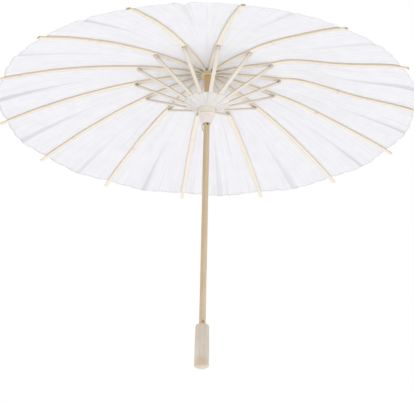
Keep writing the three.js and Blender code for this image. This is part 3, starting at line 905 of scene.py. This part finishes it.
# Runner: a tapered white sleeve, an ivory band with a bead at its top and a step at its foot, and a toothed head.
def makeRunner():
    low, high = heights("runner")
    bore, bevel = shaftRadius + sleeve["play"], hub["bevel"]
    hinge = lowerHinge[2]
    bandLow, headLow = hinge - sleeve["bandDrop"], hinge - sleeve["headDrop"]
    band, shoulder, head, floor = (sleeve[key] for key in ("band", "shoulder", "head", "floor"))
    t = linspace(0, 1, 9)
    taper = sleeve["low"] + (sleeve["high"] - sleeve["low"]) * t + sleeve["swell"] * sin(pi * t)
    wall = stack([taper, low + 0.0005 + (bandLow - low - 0.0006) * t], -1)
    foot = [(bore, low + bevel), (bore + bevel, low), (sleeve["foot"], low)]
    waist = [(sleeve["top"], bandLow), (band - 0.0005, bandLow), (band - 0.0001, bandLow + 0.0002),
        (band, bandLow + 0.0006), (band, bandLow + 0.0017), (band - 0.00025, bandLow + 0.0020),
        (band - 0.00025, bandLow + 0.0023), (band, bandLow + 0.0027), (band, hinge - 0.0063)]
    bead = [(band + 0.0003, hinge - 0.0058), (shoulder - 0.0002, hinge - 0.0053), (shoulder, hinge - 0.0048),
            (shoulder, headLow - 0.0004)]
    toothed = [(head - bevel, headLow, floor), (head, headLow + bevel, floor), *grooveRows(head, hinge, floor),
        (head, high - sleeve["round"], floor), (head - sleeve["round"], high, floor),
        (floor - sleeve["round"], high, 0), (bore + bevel, high, 0), (bore, high - bevel, 0)]
    grid = slottedGrid([(r, z, 0) for r, z in [*foot, *wall, *waist, *bead]] + toothed, sleeve["slot"])
    whiteRows = len(foot) + len(wall)
    index = np.repeat(np.where(arange(len(grid)) < whiteRows, 1, 0), grid.shape[1])
    piece = makeLoft("mouldedRunner", grid, [bandIvory, sleeveWhite], index, crisp=40)
    setPiece(piece, "runner", "runner")


# Heights are shares of the catch's own, and radii run from its foot outwards and back in.
catch = {"wire": 0.00055, "steps": 60, "heights": [0.02, 0.09, 0.28, 0.52, 0.76, 0.90, 0.97, 0.985],
         "radiiBelow": [0.0015, 0.0028, 0.0056, 0.0073], "radiiAbove": [0.0062, 0.0030], "shoulder": 0.0002}


# Catch: spring wire from its foot in the shaft's slot, out in a long bow, and back in below the runner.
def makeCatch():
    (xLow, _, zLow), (_, _, zHigh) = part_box("spring_latch")
    wire = catch["wire"]
    reach = -xLow - wire
    z = array(catch["heights"])
    r = array([*catch["radiiBelow"], reach, reach - catch["shoulder"], *catch["radiiAbove"]])
    t = linspace(0, 1, len(z))
    s = linspace(0, 1, catch["steps"])
    height = zLow + wire + (zHigh - zLow - 2 * wire) * through(s, t, z)
    path = stack([-through(s, t, r), np.zeros_like(s), height], -1)
    bent = ribbon(path, side, 2 * wire, 2 * wire, wire, 4)
    piece = joinRibbons("springCatch", [(bent, 0.0, 0)], 0.0, [steelWire], 0.0)
    setPiece(piece, "catch", "spring_latch")


ribHinge = jointByName["rib_fold_01"]["pos_m"]
makeGrip()
makeShaft()
makeCrown()
makeCap()
makeRunner()
makeCatch()
makeRing("crownWire", "crown_tie", steelWire, "frame", 1, 0, 0.0)
makeRing("runnerThread", "runner_tie", thread, "runner", 2, 130, 0.12)
print("turned and moulded pieces made")


collar = {"inner": 0.0161, "outer": 0.0395, "drawnIn": 0.0030, "wrap": 0.0012, "wraps": (0.0195, 0.026),
          "valley": 0.0028, "opens": (0.02, 0.042), "thickness": 0.0003, "along": 18, "across": 13,
          "room": 0.0004, "gap": 0.00027, "bend": 0.0024, "bends": (0.0225, 0.0165), "crease": 0.3,
          "foldAt": 0.034, "keep": 0.12}


# Half the width of a stretcher at distance r from the axis, with room for the paper.
def wrapHalf(r):
    return strutWidth(r - lowerHinge[0]) / 2 + collar["room"]


# Height of the paper under a stretcher: along its underside, and bent down to the band near the root.
def wrapHeight(r):
    slope = (upperHinge[2] - lowerHinge[2]) / (upperHinge[0] - lowerHinge[0])
    below = (struts["thickness"] / 2 + collar["gap"]) * np.hypot(1, slope)
    bend = collar["bend"] * ease(r, *collar["bends"])
    return lowerHinge[2] + slope * (r - lowerHinge[0]) - below - bend


# Area of a grid of points, from its quads' sides.
def gridArea(grid):
    down, along = grid[1:, :-1] - grid[:-1, :-1], grid[:-1, 1:] - grid[:-1, :-1]
    return float(np.linalg.norm(np.cross(down, along), axis=-1).sum())


# Paper of the collar from distances r, offsets y and heights z in the plane of stretcher i, riding with it.
def collarPiece(name, i, r, y, z, order):
    crease = stack([collar["crease"] * y / r + i, np.zeros_like(r), r], -1)
    piece = makeSheet(name, turn(stack([r, y, z], -1), i * ribStep), collar["thickness"], collarPaper,
        {"foldShade": np.zeros_like(r), "crease": crease}, order)
    setPiece(piece, "strut_%02d" % (i + 1), "runner_collar")
    return piece


# Each stretcher's root is wrapped by a strip that rides with it. A web on either side rises to the middle of the
# gap, where its edge is drawn in, and rides with the stretcher too.
def makeCollar(i):
    number = "%02d" % (i + 1)
    tangent = array([-sin(i * ribStep), cos(i * ribStep), 0])
    length = collar["outer"] - collar["inner"]
    steps = linspace(0, 1, collar["along"])
    u, out = np.meshgrid(linspace(1, -1, collar["across"]), steps, indexing="ij")
    r = collar["inner"] + length * out
    places = [0, 0.7, 0.88, 1]
    y = np.sign(u) * np.interp(abs(u), places, [0, 0.92, 0.99, 1.0]) * wrapHalf(r)
    lift = ease(r, *collar["wraps"]) * collar["wrap"]
    z = wrapHeight(r) + lift * np.interp(abs(u), places, [0, 0.02, 0.35, 1])
    strip = collarPiece("collarStrip_" + number, i, r, y, z, -1)
    area = gridArea(stack([r, y, z], -1))
    u, out = np.meshgrid(linspace(0, 1, collar["across"]), steps, indexing="ij")
    r = collar["inner"] + (length - collar["drawnIn"] * u ** 1.3) * out
    first, last = wrapHalf(r), r * np.tan(ribStep / 2)
    y = first + (last - first) * u
    valley = collar["valley"] * sin(u * pi / 2) ** 1.2 * ease(r, *collar["opens"])
    z = wrapHeight(r) + ease(r, *collar["wraps"]) * collar["wrap"] + valley
    for way, label in ((1, "left"), (-1, "right")):
        web = collarPiece("collarWeb_%s_%s" % (number, label), i, r[::-way], way * y[::-way], z[::-way], -1)
        anchor = way * tangent * float(wrapHalf(collar["foldAt"])) + array([0, 0, lowerHinge[2]])
        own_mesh(web)


for i in range(ribCount):
    makeCollar(i)
print("collar made")


studio = {"floorHeight": -1.25, "floorSize": 30.0, "floorColour": (0.88, 0.88, 0.88, 1),
          "sky": 1.0, "front": 0.64,
          "fade": (-0.95, -0.2), "aim": (0, 0, 0.4), "energy": 14.0,
          "lamps": [("key", 1.6, (-1.6, -1.2, 1.9)), ("below", 2.2, (0.2, -0.1, -1.15))]}


# White sky that is dimmer in front, from -Y: its strength follows the view direction's Y through a smooth step.
def makeSky():
    world = bpy.data.worlds.new("softWhite")
    bpy.context.scene.world = world
    world.use_nodes = True
    tree = world.node_tree
    link, background = tree.links.new, tree.nodes["Background"]
    place = addNode(tree, "TexCoord")
    split = addNode(tree, "SeparateXYZ")
    link(place.outputs["Generated"], split.inputs[0])
    values = zip(("From Min", "From Max", "To Min", "To Max"), (*studio["fade"], studio["front"], studio["sky"]))
    fade = addNode(tree, "MapRange", dict(values), interpolation_type="SMOOTHSTEP")
    link(split.outputs["Y"], fade.inputs["Value"])
    link(fade.outputs[0], background.inputs["Strength"])
    background.inputs["Color"].default_value = (1, 1, 1, 1)


# A wide pale floor far below, the sky, and square lamps that point at the canopy.
def makeStudio():
    half = studio["floorSize"] / 2
    corners = [(-half, -half), (half, -half), (half, half), (-half, half)]
    mesh = bpy.data.meshes.new("floor")
    mesh.from_pydata([(x, y, studio["floorHeight"]) for x, y in corners], [], [(0, 1, 2, 3)])
    floor = newObject("floor", mesh)
    material, _, shader = newMaterial("paleFloor", 0.9, 0.1)
    shader.inputs["Base Color"].default_value = studio["floorColour"]
    mesh.materials.append(material)
    makeSky()
    for name, size, place in studio["lamps"]:
        data = bpy.data.lights.new(name, "AREA")
        data.energy, data.size = studio["energy"], size
        lamp = newObject(name, data)
        lamp.location = place
        lamp.rotation_euler = (Vector(studio["aim"]) - Vector(place)).to_track_quat("-Z", "Y").to_euler()


view = {"lens": 88.7, "sensor": 36.0, "reach": 100, "place": (0.1472, -1.5661, -0.3873), "yaw": 5.25,
        "pitch": 21.95, "roll": -1.186}


# Camera turned by yaw about Z from +Y, tilted up by pitch, and rolled about its own axis.
def makeCamera():
    data = bpy.data.cameras.new("camera")
    data.lens, data.sensor_width = view["lens"], view["sensor"]
    data.clip_end = view["reach"]
    camera = newObject("camera", data)
    yaw, pitch, roll = (radians(view[k]) for k in ("yaw", "pitch", "roll"))
    forward = Vector((-sin(yaw) * cos(pitch), cos(yaw) * cos(pitch), sin(pitch)))
    right = Vector((cos(yaw), sin(yaw), 0))
    up = right.cross(forward)
    sideways = right * cos(roll) - up * sin(roll)
    upright = right * sin(roll) + up * cos(roll)
    turned = Matrix((sideways, upright, -forward)).transposed()
    camera.matrix_world = Matrix.Translation(view["place"]) @ turned.to_4x4()
    bpy.context.scene.camera = camera


makeStudio()
makeCamera()
bpy.context.scene.view_settings.view_transform = "Standard"
print("studio ready")
